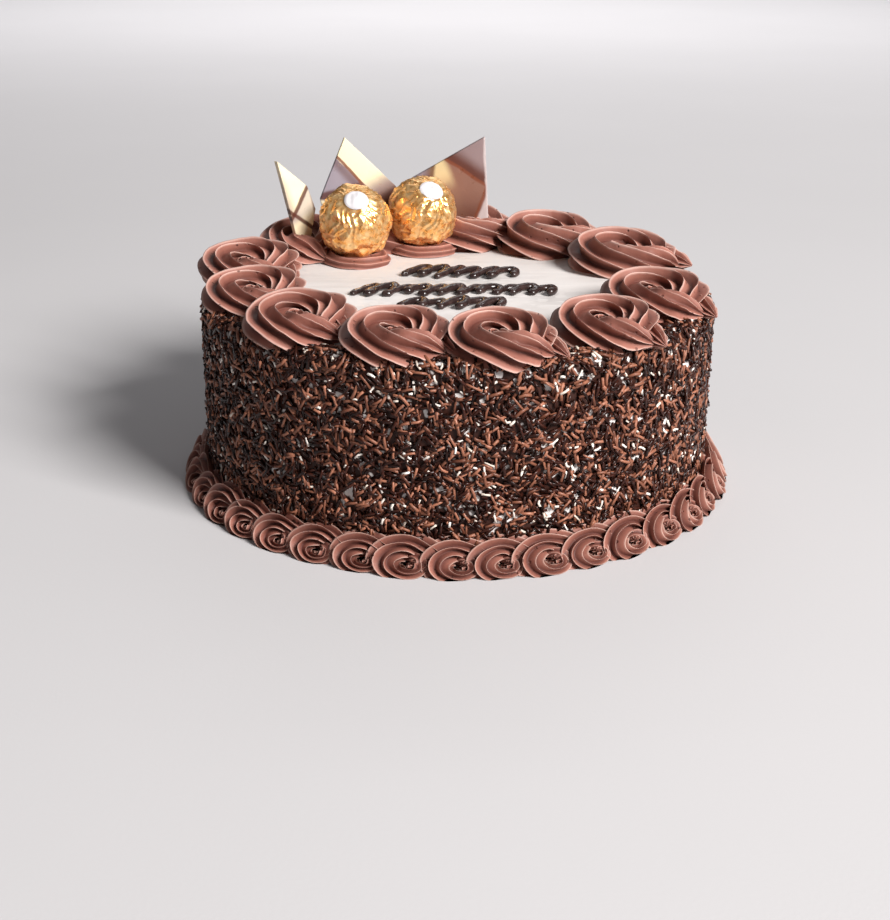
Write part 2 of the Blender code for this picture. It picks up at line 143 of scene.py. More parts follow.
def makeFineGrain():
    inputs = [("Scale", "Float", 900.0), ("Detail", "Float", 3.0), ("Stretch", "Vector", (1.0, 1.0, 1.0))]
    tree, given, out = newGroup("fineGrain", inputs, [("Height", "Float")])
    place = addNode(tree, "TexCoord").outputs["Object"]
    stretch = addNode(tree, "VectorMath", operation="MULTIPLY")
    grain = addNode(tree, "TexNoise")
    wire(tree, (place, stretch.inputs[0]), (given["Stretch"], stretch.inputs[1]))
    wire(tree, (stretch.outputs[0], grain.inputs["Vector"]), (given["Scale"], grain.inputs["Scale"]))
    wire(tree, (given["Detail"], grain.inputs["Detail"]), (grain.outputs["Fac"], out["Height"]))
    return tree


def makeToneShift():
    # the colour gets paler and darker in soft patches
    inputs = [("Color", "Color", (1, 1, 1, 1)), ("Scale", "Float", 60.0), ("Amount", "Float", 0.1)]
    tree, given, out = newGroup("toneShift", inputs, [("Color", "Color")])
    place = addNode(tree, "TexCoord").outputs["Object"]
    patches = addNode(tree, "TexNoise")
    patches.inputs["Detail"].default_value = 4.0
    wire(tree, (place, patches.inputs["Vector"]), (given["Scale"], patches.inputs["Scale"]))
    low = sums(tree, "SUBTRACT", 1.0, given["Amount"])
    high = sums(tree, "ADD", 1.0, given["Amount"])
    strength = mapped(tree, patches.outputs["Fac"], 0.3, 0.7, low, high)
    scaled = addNode(tree, "VectorMath", operation="SCALE")
    wire(tree, (given["Color"], scaled.inputs[0]), (strength, scaled.inputs["Scale"]))
    wire(tree, (scaled.outputs[0], out["Color"]))
    return tree


def makeAirPits():
    # small round pits where air bubbles broke, in some of the cells only
    inputs = [("Scale", "Float", 400.0), ("Size", "Float", 0.2), ("Share", "Float", 0.2)]
    tree, given, out = newGroup("airPits", inputs, [("Mask", "Float")])
    place = addNode(tree, "TexCoord").outputs["Object"]
    cells = addNode(tree, "TexVoronoi")
    wire(tree, (place, cells.inputs["Vector"]), (given["Scale"], cells.inputs["Scale"]))
    inner = sums(tree, "MULTIPLY", given["Size"], 0.4)
    disc = mapped(tree, cells.outputs["Distance"], inner, given["Size"], 1.0, 0.0, True)
    parts = addNode(tree, "SeparateColor")
    wire(tree, (cells.outputs["Color"], parts.inputs[0]))
    chosen = sums(tree, "LESS_THAN", parts.outputs[0], given["Share"])
    wire(tree, (sums(tree, "MULTIPLY", disc, chosen), out["Mask"]))
    return tree


def makePieceTone():
    # every sprinkle carries its own tone from 0 to 1
    inputs = [("Dark", "Color", (0, 0, 0, 1)), ("Light", "Color", (1, 1, 1, 1))]
    tree, given, out = newGroup("pieceTone", inputs, [("Color", "Color")])
    tone = addNode(tree, "Attribute", attribute_name="tone")
    mix = addNode(tree, "Mix", data_type="RGBA")
    wire(tree, (tone.outputs["Fac"], mix.inputs["Factor"]))
    wire(tree, (given["Dark"], mix.inputs[6]), (given["Light"], mix.inputs[7]))
    wire(tree, (mix.outputs[2], out["Color"]))
    return tree


def makeMarbleBand():
    # a wavering streak across a shard, and the side of it that faces the given way
    inputs = [
        ("Place", "Vector", (0, 0, 0)),
        ("Facing", "Vector", (1, 0, 0)),
        ("Width", "Float", 0.0006),
        ("Soft", "Float", 0.0004),
        ("Waver", "Float", 0.002),
    ]
    tree, given, out = newGroup("marbleBand", inputs, [("Line", "Float"), ("Beyond", "Float")])
    place = addNode(tree, "TexCoord").outputs["Object"]
    away = addNode(tree, "VectorMath", operation="SUBTRACT")
    along = addNode(tree, "VectorMath", operation="DOT_PRODUCT")
    curl = addNode(tree, "TexNoise")
    curl.inputs["Scale"].default_value = 75.0
    curl.inputs["Detail"].default_value = 4.0
    wire(tree, (place, away.inputs[0]), (given["Place"], away.inputs[1]), (place, curl.inputs["Vector"]))
    wire(tree, (away.outputs[0], along.inputs[0]), (given["Facing"], along.inputs[1]))
    shift = sums(tree, "MULTIPLY", sums(tree, "SUBTRACT", curl.outputs["Fac"], 0.5), given["Waver"])
    distance = sums(tree, "ADD", along.outputs["Value"], shift)
    far = sums(tree, "ADD", given["Width"], given["Soft"])
    near = addNode(tree, "Math", operation="ABSOLUTE")
    wire(tree, (distance, near.inputs[0]))
    wire(tree, (mapped(tree, near.outputs[0], given["Width"], far, 1.0, 0.0, True), out["Line"]))
    back = sums(tree, "MULTIPLY", given["Soft"], -1.0)
    wire(tree, (mapped(tree, distance, back, given["Soft"], 0.0, 1.0, True), out["Beyond"]))
    return tree


groups = {
    "fineGrain": makeFineGrain(),
    "toneShift": makeToneShift(),
    "airPits": makeAirPits(),
    "pieceTone": makePieceTone(),
    "marbleBand": makeMarbleBand(),
}
print("shader groups ready")


# Helpers for materials and meshes

def newMaterial(name, roughness, specular=0.5, metallic=0.0):
    material = bpy.data.materials.new(name)
    material.use_nodes = True
    tree = material.node_tree
    shader = tree.nodes["Principled BSDF"]
    shader.inputs["Roughness"].default_value = roughness
    shader.inputs["Specular IOR Level"].default_value = specular
    shader.inputs["Metallic"].default_value = metallic
    return material, tree, shader.inputs


def addGroup(tree, name, **values):
    node = tree.nodes.new("ShaderNodeGroup")
    node.node_tree = groups[name]
    for label, value in values.items():
        if isinstance(value, bpy.types.NodeSocket):
            wire(tree, (value, node.inputs[label]))
        elif len(np.shape(value)) and node.inputs[label].type == "RGBA":
            node.inputs[label].default_value = (*value, 1.0)
        else:
            node.inputs[label].default_value = value
    return node.outputs


def mixed(tree, factor, first, second):
    node = addNode(tree, "Mix", data_type="RGBA")
    for socket, value in ((node.inputs[0], factor), (node.inputs[6], first), (node.inputs[7], second)):
        if isinstance(value, bpy.types.NodeSocket):
            wire(tree, (value, socket))
        else:
            socket.default_value = value if isinstance(value, float) else (*value, 1.0)
    return node.outputs[2]


def paint(tree, shader, color, scale, amount):
    # the base colour, paler and darker in patches
    shifted = addGroup(tree, "toneShift", Color=color, Scale=scale, Amount=amount)["Color"]
    wire(tree, (shifted, shader["Base Color"]))


def grained(tree, scale, detail):
    return addGroup(tree, "fineGrain", Scale=scale, Detail=detail)["Height"]


def roughen(tree, shader, height, low, high):
    wire(tree, (mapped(tree, height, 0.3, 0.7, low, high), shader["Roughness"]))


def addBump(tree, height, distance, strength, under=None):
    node = addNode(tree, "Bump")
    node.inputs["Distance"].default_value = distance
    node.inputs["Strength"].default_value = strength
    wire(tree, (height, node.inputs["Height"]))
    if under is not None:
        wire(tree, (under, node.inputs["Normal"]))
    return node.outputs[0]


def relief(tree, shader, height, distance, strength, under=None):
    wire(tree, (addBump(tree, height, distance, strength, under), shader["Normal"]))


def addPiece(name, mesh, material):
    mesh.materials.append(material)
    piece = bpy.data.objects.new(name, mesh)
    bpy.context.scene.collection.objects.link(piece)
    return piece


def meshObject(name, points, faceSets, material, smooth=True):
    mesh = bpy.data.meshes.new(name)
    corners = np.concatenate([np.asarray(rows).ravel() for rows in faceSets])
    counts = np.concatenate([np.full(len(rows), len(rows[0])) for rows in faceSets])
    mesh.vertices.add(len(points))
    mesh.vertices.foreach_set("co", np.asarray(points, np.float32).ravel())
    mesh.loops.add(len(corners))
    mesh.loops.foreach_set("vertex_index", corners.astype(np.int32))
    mesh.polygons.add(len(counts))
    mesh.polygons.foreach_set("loop_start", (np.cumsum(counts) - counts).astype(np.int32))
    mesh.update(calc_edges=True)
    mesh.validate()
    if smooth:
        mesh.shade_smooth()
    return addPiece(name, mesh, material)


def addShare(piece, name, values):
    layer = piece.data.attributes.new(name, "FLOAT", "POINT")
    layer.data.foreach_set("value", np.asarray(values, np.float32))


def place(piece, slot, *nodes):
    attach(piece, "root")
    if nodes:
        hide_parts(*nodes)
    return piece


def gridFaces(rows, columns):
    # quads between rings of points
    base = np.arange(rows - 1)[:, None] * columns
    near = np.arange(columns)[None, :]
    after = (near + 1) % columns
    corners = [base + near, base + columns + near, base + columns + after, base + after]
    return np.stack(corners, axis=2).reshape(-1, 4)


def endCaps(rows, columns):
    # one face on the first ring and one on the last
    last = (rows - 1) * columns
    return [np.arange(columns)[None, :], np.arange(last + columns - 1, last - 1, -1)[None, :]]


def unit(rows):
    return rows / np.linalg.norm(rows, axis=1, keepdims=True)


def pathAxes(path):
    # for each point of a path: ahead along it, and level to its side
    ahead = unit(np.gradient(path, axis=0))
    return ahead, unit(np.cross(ahead, (0.0, 0.0, 1.0)))


def joined(parts):
    # several (points, face sets, shares) as one
    start, faceSets = 0, []
    for points, sets, shares in parts:
        faceSets += [np.asarray(rows) + start for rows in sets]
        start += len(points)
    return np.concatenate([p[0] for p in parts]), faceSets, np.concatenate([p[2] for p in parts])


def ripple(points, size, amount, seed):
    # one smooth random value for each point
    at = np.asarray(points, float) / size + seed * 17.31
    cell = np.floor(at).astype(np.int64)
    near = at - cell
    near = near * near * (3 - 2 * near)
    total = np.zeros(len(at))
    for corner in np.ndindex(2, 2, 2):
        x, y, z = ((cell + corner) * (73856093, 19349663, 83492791)).T
        key = x ^ y ^ z
        key = ((key ^ (key >> 13)) * 1274126177) & 0xFFFFFFFF
        value = ((key ^ (key >> 15)) & 0xFFFF) / 32767.5 - 1.0
        total += value * np.abs(1 - np.array(corner) - near).prod(axis=1)
    return total * amount


def ripples(points, size, amount, seed):
    return np.stack([ripple(points, size, amount, seed + k) for k in range(3)], axis=1)


def smoothTable(table, count):
    # Hermite curves through the rows, evenly along the first column
    rows = np.array(table, float)
    knots = rows[:, 0]
    at = np.linspace(knots[0], knots[-1], count)
    out = [at]
    for column in rows.T[1:]:
        slope = np.gradient(column, knots)
        i = np.clip(np.searchsorted(knots, at, side="right") - 1, 0, len(knots) - 2)
        span = knots[i + 1] - knots[i]
        t = (at - knots[i]) / span
        out.append(
            column[i] * (2 * t**3 - 3 * t**2 + 1)
            + slope[i] * span * (t**3 - 2 * t**2 + t)
            + column[i + 1] * (3 * t**2 - 2 * t**3)
            + slope[i + 1] * span * (t**3 - t**2)
        )
    return out


# Floor

def makeFloor(spec):
    half = spec["half"]
    corners = [(-half, -half, 0), (half, -half, 0), (half, half, 0), (-half, half, 0)]
    material, tree, shader = newMaterial("paleFloor", 0.7, 0.3)
    paint(tree, shader, spec["color"], 3.0, 0.015)
    grain = grained(tree, 700.0, 2.0)
    relief(tree, shader, grain, 0.0001, 0.3)
    meshObject("floor", corners, [[(0, 1, 2, 3)]], material, False)
    world = bpy.data.worlds.new("studio")
    world.use_nodes = True
    background = world.node_tree.nodes["Background"]
    background.inputs["Color"].default_value = (*spec["world"], 1.0)
    background.inputs["Strength"].default_value = spec["strength"]
    bpy.context.scene.world = world


makeFloor(floorSpec)
print("floor ready")


# Piped chocolate buttercream: a star profile swept along a path

creamSpec = {
    # groove is a painted shade colour for the grooves, face the cream's own colour, lip a painted highlight
    # colour for the crest lips
    "grooveShade": (0.125, 0.040, 0.029),
    "face": (0.315, 0.128, 0.095),
    "lipHighlight": (0.600, 0.385, 0.330),
    "patches": 130.0,
    "patchAmount": 0.10,
    "roughness": (0.50, 0.68),
    "pitScale": 430.0,
    "pitSize": 0.30,
    "pitShare": 0.13,
}


def makeCream(name, spec):
    material, tree, shader = newMaterial(name, 0.55, 0.30)
    # the crest attribute paints a highlight on the crest lips and shade deep in the grooves
    crestLightGrooveShade = addNode(tree, "Attribute", attribute_name="crestLightGrooveShade").outputs["Fac"]
    lipHighlight = mapped(tree, crestLightGrooveShade, 0.0, 1.0, 0.0, 1.0)
    grooveShadeShare = mapped(tree, crestLightGrooveShade, -1.0, 0.0, 1.0, 0.0)
    pits = addGroup(
        tree, "airPits", Scale=spec["pitScale"], Size=spec["pitSize"], Share=spec["pitShare"],
    )["Mask"]
    color = mixed(tree, lipHighlight, mixed(tree, grooveShadeShare, spec["face"], spec["grooveShade"]), spec["lipHighlight"])
    # the air pits get the dark groove colour: painted shade in the pits
    color = mixed(tree, sums(tree, "MULTIPLY", pits, 0.75), color, spec["grooveShade"])
    paint(tree, shader, color, spec["patches"], spec["patchAmount"])
    grain = grained(tree, 1500.0, 3.0)
    soft = grained(tree, 260.0, 2.0)
    roughen(tree, shader, soft, *spec["roughness"])
    normal = addBump(tree, grain, 0.00012, 0.6)
    normal = addBump(tree, soft, 0.0003, 0.5, normal)
    pitDepth = sums(tree, "MULTIPLY", pits, -1.0)
    relief(tree, shader, pitDepth, 0.0005, 0.9, normal)
    shader["Subsurface Weight"].default_value = 0.06
    shader["Subsurface Radius"].default_value = (0.6, 0.3, 0.2)
    shader["Subsurface Scale"].default_value = 0.002
    return material


cream = makeCream("chocolateButtercream", creamSpec)
# one tooth of the nozzle: 0 is a crest, 1 the groove and 2 the next crest
profileSpec = {
    "face": (0.0, 0.04, 0.12, 0.28, 0.52, 0.78),
    "wall": (1.0, 1.24, 1.50, 1.74, 1.90, 1.965),
    "blade": 0.75,  # under 1 makes the crests sharper
    "lipReach": 0.11,
    "fillMiddle": -28,  # where the filled face is, in degrees from up
    "fillWidth": 48,
    "fillRamp": 40,
}


def halfTurn(angles):
    # radians as degrees from -180 to 180
    return np.degrees((angles + np.pi) % (2 * np.pi) - np.pi)


def sweepStar(path, radii, twist, lean, course, spec):
    # each ring runs from a crest down to the groove (its share is lean), then up to the next crest;
    # from one angle of the course on, the grooves on the inner top fill up to one broad face
    part = np.array(profileSpec["face"] + profileSpec["wall"])
    down = np.where(part < 1, part, 2 - part)
    depth = np.sin(down * np.pi / 2) ** spec.get("blade", profileSpec["blade"])
    within = np.where(part < 1, part * lean[:, None], lean[:, None] + (part - 1) * (1 - lean[:, None]))
    teeth = np.arange(spec["teeth"])
    angles = 2 * np.pi * (teeth[None, :, None] + within[:, None, :]).reshape(len(lean), -1) / spec["teeth"]
    ahead, side = pathAxes(path)
    over = np.cross(side, ahead)
    # twist: how far the first crest leans outwards from up
    turn = twist[:, None] - angles
    fromMiddle = np.abs(halfTurn(turn) - profileSpec["fillMiddle"])
    late = np.clip((course - spec["fillFrom"]) / profileSpec["fillRamp"], 0, 1)[:, None]
    fill = spec["fill"] * late * np.clip(1.4 - fromMiddle / profileSpec["fillWidth"], 0, 1)
    shape = 1.0 - (1.0 - spec["valley"]) * (1 - fill) * np.tile(depth, spec["teeth"])
    spread = radii[:, None] * shape
    wide, tall = spec["squash"]
    points = path[:, None, :] + side[:, None, :] * (spread * np.sin(turn) * wide)[:, :, None]
    points = points + over[:, None, :] * (spread * np.cos(turn) * tall)[:, :, None]
    # painted light for the colour: up to 1 on the crest lips (painted highlight), down to -1 deep in the
    # grooves (painted shade)
    lipHighlight = np.clip(1 - down / profileSpec["lipReach"], 0, 1)
    crestLightGrooveShade = lipHighlight - np.clip((depth - 0.35) / 0.65, 0, 1) ** 1.2
    shares = np.tile(crestLightGrooveShade, spec["teeth"]) * (1 - 0.85 * fill)
    faceSets = [gridFaces(*turn.shape)] + endCaps(*turn.shape)
    return points.reshape(-1, 3), faceSets, shares.reshape(-1), turn.reshape(-1)


rosetteSpec = {
    "ring": 0.0845,
    "top": 0.076,
    "steps": 132,
    "innerSteps": 50,
    "teeth": 9,
    "valley": 0.54,
    "fillFrom": 246,
    "fill": 0.9,
    "squash": (1.10, 0.94),
    # angle, path reach, strand radius, strand height, lean of the first crest, place of the groove;
    # degrees and mm
    "outer": (
        (-40, 15.4, 2.4, 0.6, -34, 0.5),
        (-33, 14.2, 5.2, 1.4, -32, 0.5),
        (-18, 12.9, 7.0, 2.6, -29, 0.5),
        (8, 12.3, 7.7, 3.9, -23, 0.5),
        (34, 12.1, 7.9, 4.7, -16, 0.5),
        (60, 12.0, 8.1, 5.2, -8, 0.5),
        (92, 12.0, 8.3, 5.4, 2, 0.42),
        (135, 12.6, 8.8, 5.0, 18, 0.26),
        (180, 13.6, 9.2, 4.2, 36, 0.18),
        (225, 13.8, 8.9, 3.4, 62, 0.36),
        (262, 13.2, 8.8, 2.8, 94, 0.62),
        (290, 13.2, 8.8, 2.6, 126, 0.70),
        (310, 13.9, 8.0, 2.8, 148, 0.74),
        (324, 15.6, 6.2, 2.6, 162, 0.76),
        (333, 18.0, 3.8, 2.0, 170, 0.76),
        (338, 20.4, 1.4, 1.2, 174, 0.76),
    ),
    "inner": (
        (-250, 4.8, 0.8, 5.0, -60, 0.4),
        (-205, 4.6, 2.2, 5.4, -40, 0.4),
        (-150, 3.8, 3.2, 5.6, -10, 0.4),
        (-90, 3.6, 4.0, 5.4, 30, 0.5),
        (-50, 5.6, 4.0, 4.6, 60, 0.5),
    ),
    # the ragged start that sticks out under the tail
    "start": (
        (-21, 26.0, 0.5, 1.2, -50, 0.5),
        (-19, 23.6, 2.4, 1.8, -46, 0.5),
        (-13, 19.6, 4.2, 2.4, -40, 0.5),
        (-2, 15.4, 5.0, 3.0, -34, 0.5),
    ),
    "startSteps": 26,
    "wobble": 0.0006,
    "grain": 0.00007,
    "torn": 0.0009,
    "tornFrom": 290,
    "skew": 8,
    "edge": 0.0995,  # past here the cream hangs down a little
    "sag": 0.4,
}
# angle of the eye, its ring, size, turn of the tail, lift
rosettes = {
    "rosette_front_left": (-132.5, 0.0835, 0.97, -18.0, 1.05),
    "rosette_front": (-104.5, 0.0830, 0.93, -8.0, 1.00),
    "rosette_front_right": (-79.2, 0.0850, 0.95, -4.0, 1.02),
    "rosette_right_front": (-49.5, 0.0850, 0.93, -20.0, 0.97),
    "rosette_right": (-19.5, 0.0830, 0.99, -18.0, 1.12),
    "rosette_right_back": (28.5, 0.0830, 1.10, 14.0, 1.10),
    "rosette_back_right": (59.5, 0.0850, 1.12, 24.0, 1.14),
    "rosette_back": (86.0, 0.0845, 1.05, 30.0, 1.60),
    "rosette_left_back": (167.0, 0.0875, 0.98, -20.0, 1.08),
    "rosette_left": (-162.0, 0.0815, 0.94, -14.0, 1.06),
}
# the two under the balls, with valley, greatest height and seed
pressed = {
    "rosette_pressed_right": (108.0, 0.0845, 0.98, 84.0, 0.92, 0.78, 0.0860, 21),
    "rosette_pressed_left": (138.0, 0.0880, 0.98, -40.0, 1.35, 0.56, 0.0960, 22),
}


def sweepCourse(spec, course, steps, size, tail, lift, skew):
    angle, reach, strand, height, twist, lean = smoothTable(course, steps)
    turn = np.radians(angle + tail)
    reach = reach * size * 0.001
    path = np.stack([reach * np.cos(turn), reach * np.sin(turn), height * lift * 0.001], axis=1)
    strand = strand * size * 0.001
    points, faceSets, shares, leaning = sweepStar(path, strand, np.radians(twist + skew), lean, angle, spec)
    # where the nozzle let go, the inner top of the tail is torn
    late = np.clip((np.repeat(angle, len(leaning) // steps) - spec["tornFrom"]) / 24, 0, 1)
    torn = late * np.clip(1 - np.abs(halfTurn(leaning) + 30) / 55, 0, 1) * spec["torn"]
    points[:, 2] += torn * (ripple(points, 0.0012, 1.0, 3) + ripple(points, 0.0030, 0.8, 8))
    return points, faceSets, shares


def settle(points, spec, eyeAngle, ring):
    # from the swirl's own place to the cake's edge, lying on the top
    eye = math.radians(eyeAngle)
    points = points + np.array([ring * math.cos(eye), ring * math.sin(eye), spec["top"]])
    away = np.hypot(points[:, 0], points[:, 1])
    lowest = spec["top"] - np.clip(away - spec["edge"], 0.0, 0.01) * spec["sag"]
    points[:, 2] = np.maximum(points[:, 2], lowest)
    return points


def makeRosette(name, eyeAngle, ring, size, tail, lift, seed, material):
    spec = rosetteSpec
    skew = random.Random(seed).uniform(-spec["skew"], spec["skew"])
    courses = (("outer", "steps"), ("inner", "innerSteps"), ("start", "startSteps"))
    points, faceSets, shares = joined([
        sweepCourse(spec, spec[course], spec[steps], size, tail, lift, skew) for course, steps in courses
    ])
    points = points + ripples(points, 0.011, spec["wobble"], seed * 3)
    points = points + ripples(points, 0.0018, spec["grain"], seed + 50)
    piece = meshObject(name, settle(points, spec, eyeAngle, ring), faceSets, material)
    # the shares paint a highlight on the crest lips and shade in the grooves
    addShare(piece, "crestLightGrooveShade", shares)
    return place(piece, "chocolate_buttercream", name)


for seed, (name, row) in enumerate(rosettes.items()):
    makeRosette(name, *row, seed, cream)
print("rosettes piped")


# Iced body

coreSpec = {
    "radius": 0.1016,
    "height": 0.076,
    "round": 0.004,
    "around": 320,
    "unevenness": 0.0003,
    "color": (0.71, 0.67, 0.65),
    # painted shade for the gaps between the sprinkles on the side
    "gapShade": (0.034, 0.011, 0.007),
    "gapShadeTo": (0.0752, 0.0760),  # the painted shade between the sprinkles fades out between these heights
    "showing": 0.58,
}


def makeIcing(spec):
    material, tree, shader = newMaterial("whiteIcing", 0.5, 0.22)
    white = addGroup(tree, "toneShift", Color=spec["color"], Scale=35.0, Amount=0.035)["Color"]
    # the side is painted dark between the sprinkles as painted shade, and shows white in spots
    height = addNode(tree, "SeparateXYZ")
    wire(tree, (addNode(tree, "TexCoord").outputs["Object"], height.inputs[0]))
    side = mapped(tree, height.outputs["Z"], *spec["gapShadeTo"], 1.0, 0.0, True)
    spots = grained(tree, 190.0, 1.5)
    gapShaded = mapped(tree, spots, spec["showing"] - 0.02, spec["showing"] + 0.02, 1.0, 0.0)
    color = mixed(tree, sums(tree, "MULTIPLY", side, gapShaded), white, spec["gapShade"])
    wire(tree, (color, shader["Base Color"]))
    smear = addGroup(tree, "fineGrain", Scale=60.0, Detail=5.0, Stretch=(0.5, 3.5, 1.0))["Height"]
    pits = addGroup(tree, "airPits", Scale=260.0, Size=0.16, Share=0.05)["Mask"]
    normal = addBump(tree, smear, 0.0010, 0.45)
    relief(tree, shader, sums(tree, "MULTIPLY", pits, -1.0), 0.0003, 0.5, normal)
    roughen(tree, shader, smear, 0.42, 0.6)
    return material


def makeCore(material):
    spec = coreSpec
    radius, height, edge = spec["radius"], spec["height"], spec["round"]
    profile = [(0.001, 0.0)] + [(radius * t, 0.0) for t in (0.5, 0.97)]
    profile += [(radius, z) for z in np.linspace(0.001, height - edge, 26)]
    for step in range(1, 7):
        turn = step / 6 * math.pi / 2
        profile.append((radius - edge + edge * math.cos(turn), height - edge + edge * math.sin(turn)))
    profile += [(radius * t, height) for t in np.linspace(0.94, 0.005, 44)]
    angles = np.linspace(0.0, 2 * np.pi, spec["around"], endpoint=False)
    reach, up = np.array(profile).T
    turned = [np.outer(reach, np.cos(angles)), np.outer(reach, np.sin(angles))]
    turned.append(np.repeat(up[:, None], spec["around"], axis=1))
    points = np.stack(turned, axis=2).reshape(-1, 3)
    bump = ripple(points, 0.022, spec["unevenness"], 1) + ripple(points, 0.006, spec["unevenness"] * 0.25, 2)
    onTop = np.clip((points[:, 2] - (height - edge)) / edge, 0, 1)
    points[:, :2] *= (1 + (1 - onTop) * bump / radius)[:, None]
    points[:, 2] += onTop * bump
    size = (len(profile), spec["around"])
    faceSets = [rows[:, ::-1] for rows in [gridFaces(*size)] + endCaps(*size)]
    return place(meshObject("icedBody", points, faceSets, material), "white_icing", "cake_body")


makeCore(makeIcing(coreSpec))
print("iced body ready")


# Chocolate sprinkles

sprinkleSpec = {
    "lowest": 0.003,
    "overEdge": 0.0075,  # how far they go over the edge onto the top
    "sides": 4,
    "lift": (0.0002, 0.0014),
    "tip": 0.16,
    "bend": 0.00025,
    "clear": 0.0195,  # on the top, none lies nearer to a swirl's eye,
    "underSwirl": 0.0006,  # but for those this close to the edge
    "kinds": {
        "sprinklesDark": {
            "count": 9600,
            "length": (0.0034, 0.0066),
            "radius": (0.00050, 0.00074),
            "dark": (0.011, 0.004, 0.003),
            "light": (0.046, 0.013, 0.008),
            "roughness": 0.26,
            "specular": 0.22,
            "slot": "chocolate_buttercream",
            "seed": 3,
        },
        "sprinklesMilk": {
            "count": 6000,
            "length": (0.0034, 0.0066),
            "radius": (0.00050, 0.00070),
            "dark": (0.120, 0.040, 0.022),
            "light": (0.350, 0.140, 0.083),
            "roughness": 0.38,
            "specular": 0.3,
            "slot": "chocolate_buttercream",
            "seed": 5,
        },
        "sprinklesWhite": {
            "count": 1250,
            "length": (0.0014, 0.0040),
            "radius": (0.00036, 0.00058),
            "dark": (0.66, 0.56, 0.47),
            "light": (0.92, 0.86, 0.80),
            "roughness": 0.5,
            "specular": 0.3,
            "slot": "white_icing",
            "seed": 7,
        },
    },
}


def rodMesh(centres, alongs, outs, lengths, radii, bends, sides):
    # every rod is a bent prism of three rings
    sideways = np.cross(alongs, outs)
    rings = []
    for share in (-0.5, 0.0, 0.5):
        middle = centres + alongs * (lengths * share)[:, None]
        middle = middle + sideways * (bends * (1 - 4 * share * share))[:, None]
        for k in range(sides):
            turn = 2 * math.pi * (k + 0.5) / sides
            rings.append(middle + (outs * math.cos(turn) + sideways * math.sin(turn)) * radii[:, None])
    points = np.stack(rings, axis=1).reshape(-1, 3)
    single = [tuple(range(sides)), tuple(range(3 * sides - 1, 2 * sides - 1, -1))]
    for base in (0, sides):
        for k in range(sides):
            after = (k + 1) % sides
            single.append((base + k, base + sides + k, base + sides + after, base + after))
    starts = np.arange(len(centres)) * 3 * sides
    return points, [(starts[:, None, None] + np.array(single)[None, :, :]).reshape(-1, 4)]


def makeSprinkles(name, kind):
    spec = sprinkleSpec
    rng = np.random.default_rng(kind["seed"])
    count = kind["count"]
    edge, radius, top = coreSpec["round"], coreSpec["radius"], coreSpec["height"]
    angle = rng.uniform(0, 2 * np.pi, count)
    along = rng.uniform(spec["lowest"], top + spec["overEdge"], count)
    over = np.clip(along - (top - edge), 0, None)
    bend = np.clip(over / edge, 0, math.pi / 2)
    inwards = np.clip(over - edge * math.pi / 2, 0, None)
    ring = radius - edge * (1 - np.cos(bend)) - inwards
    height = np.minimum(along, top - edge) + edge * np.sin(bend)
    outs = np.stack([np.cos(angle) * np.cos(bend), np.sin(angle) * np.cos(bend), np.sin(bend)], axis=1)
    east = np.stack([-np.sin(angle), np.cos(angle), np.zeros(count)], axis=1)
    lie = rng.uniform(0, np.pi, count)
    tip = rng.normal(0, spec["tip"], count)
    alongs = east * np.cos(lie)[:, None] + np.cross(outs, east) * np.sin(lie)[:, None]
    alongs = alongs * np.cos(tip)[:, None] + outs * np.sin(tip)[:, None]
    normals = unit(outs - alongs * np.sum(outs * alongs, axis=1)[:, None])
    lengths = rng.uniform(*kind["length"], count)
    radii = rng.uniform(*kind["radius"], count)
    lift = rng.uniform(*spec["lift"], count)
    bends = rng.normal(0, spec["bend"], count)
    tones = rng.uniform(0, 1, count)
    centres = np.stack([np.cos(angle) * ring, np.sin(angle) * ring, height], axis=1) + outs * lift[:, None]
    eyes = np.radians([row[0] for row in (*rosettes.values(), *pressed.values())])
    eyes = np.stack([np.cos(eyes), np.sin(eyes)], axis=1) * rosetteSpec["ring"]
    gap = np.linalg.norm(centres[:, None, :2] - eyes[None, :, :], axis=2).min(axis=1)
    kept = (along < top + spec["underSwirl"]) | (gap > spec["clear"])
    rods = [row[kept] for row in (centres, alongs, normals, lengths, radii, bends)]
    points, faceSets = rodMesh(*rods, spec["sides"])
    material, tree, shader = newMaterial(name, kind["roughness"], kind["specular"])
    tone = addGroup(tree, "pieceTone", Dark=kind["dark"], Light=kind["light"])["Color"]
    paint(tree, shader, tone, 900.0, 0.12)
    grain = grained(tree, 2200.0, 2.0)
    relief(tree, shader, grain, 0.0001, 0.5)
    piece = meshObject(name, points, faceSets, material)
    addShare(piece, "tone", np.repeat(tones[kept], 3 * spec["sides"]))
    return place(piece, kind["slot"])


for name, kind in sprinkleSpec["kinds"].items():
    makeSprinkles(name, kind)
print("sprinkles ready")


# Shell border round the foot: small swirls that face outwards

